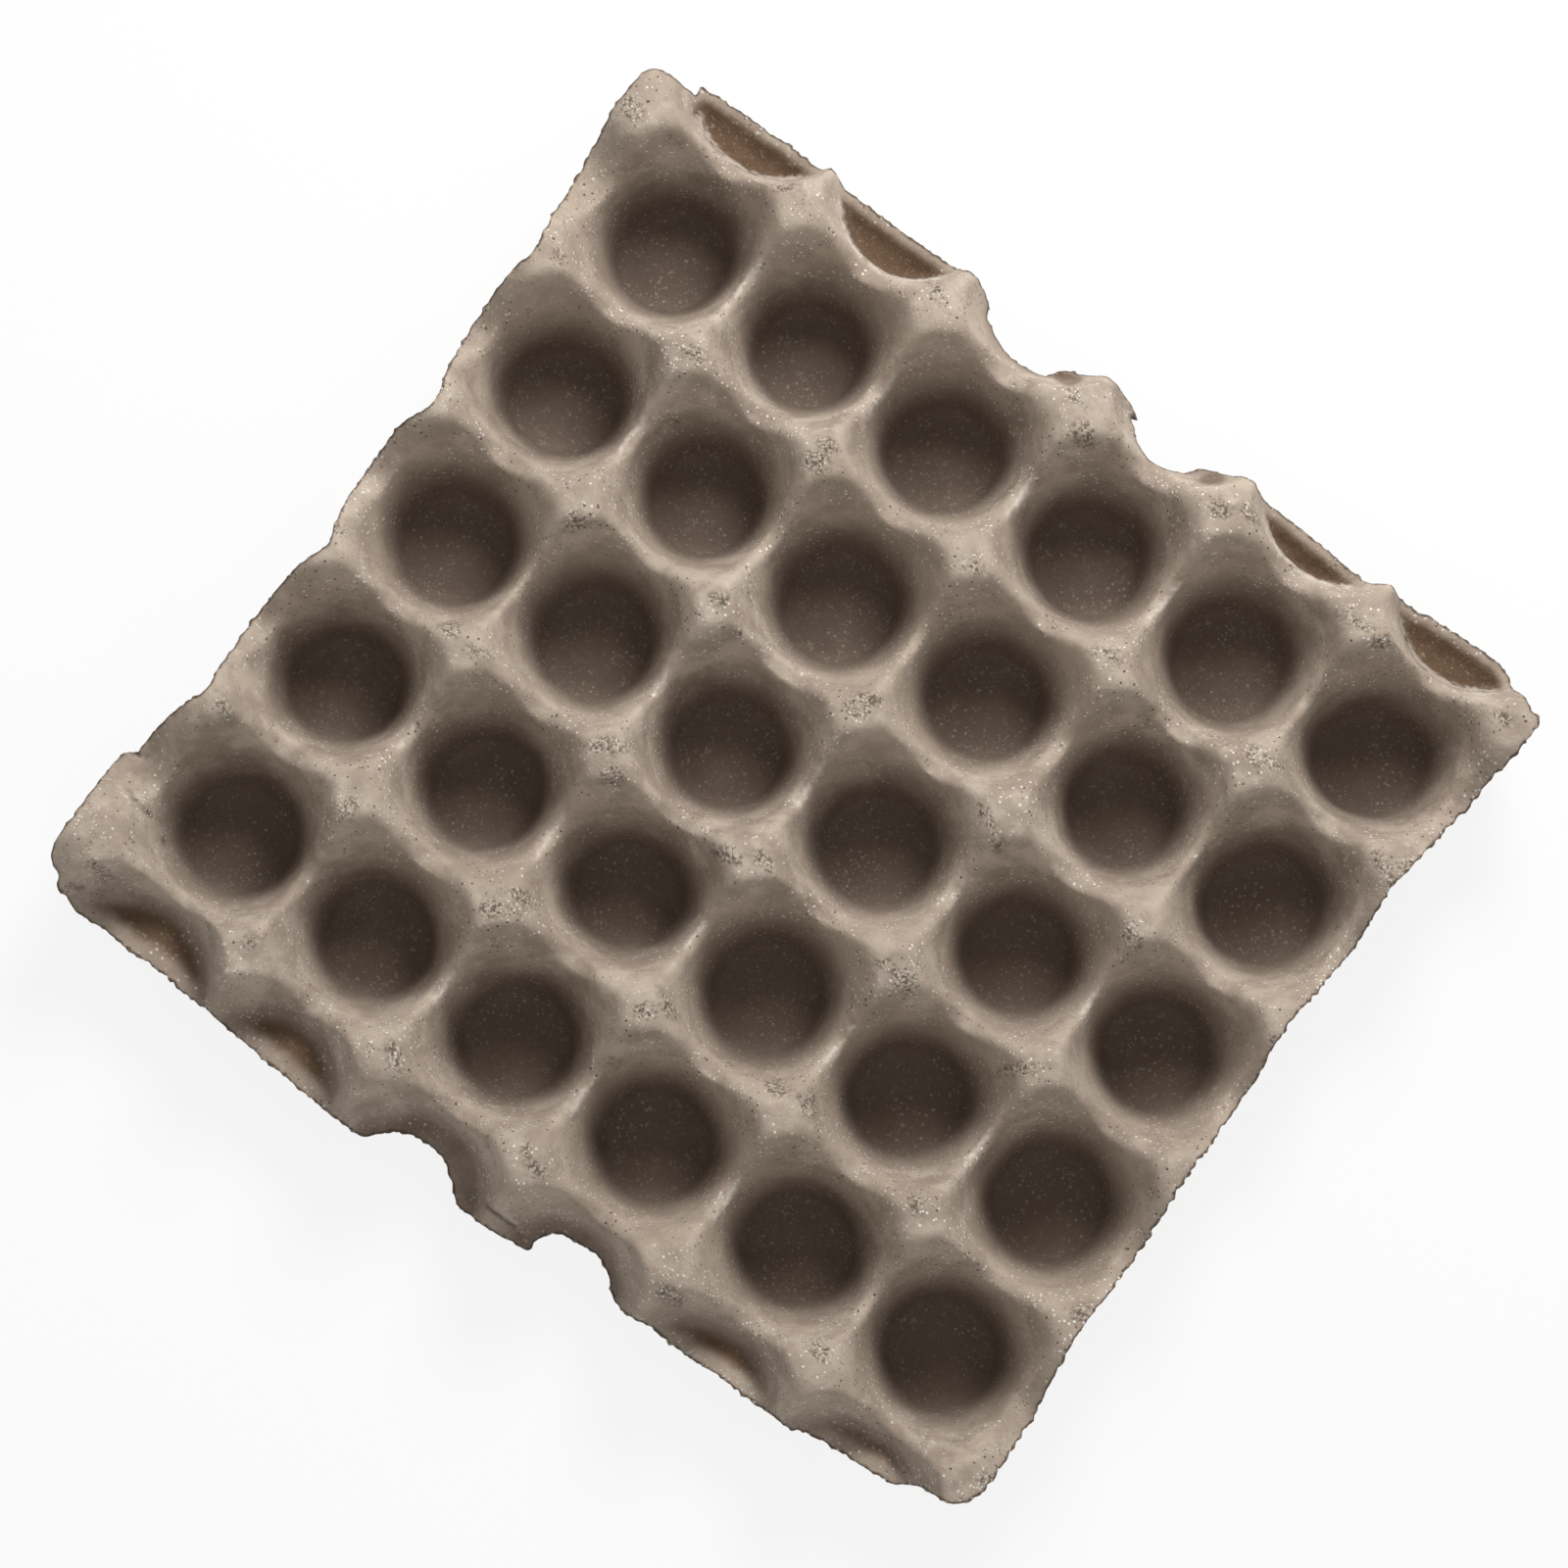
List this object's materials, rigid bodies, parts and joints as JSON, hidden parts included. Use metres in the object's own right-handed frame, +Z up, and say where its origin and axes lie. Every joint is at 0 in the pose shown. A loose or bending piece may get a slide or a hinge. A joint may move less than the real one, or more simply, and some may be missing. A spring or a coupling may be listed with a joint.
{
  "type": "pulp egg tray",
  "caption": "Moulded paper pulp tray with tapered round cells between hollow star-shaped posts, holding eggs upright.",
  "frame": {"origin": "on the table under the middle of the tray", "axes": "+X along the longer side of the tray, +Y along the shorter side, +Z up out of the cells"},
  "size_m": [0.294, 0.2762, 0.045],
  "materials": {
    "pulp": "dull grey-brown moulded pulp, rough with fibres and flecks"
  },
  "bodies": {
    "root": {"egg_tray": "pulp"}
  },
  "joints": []
}
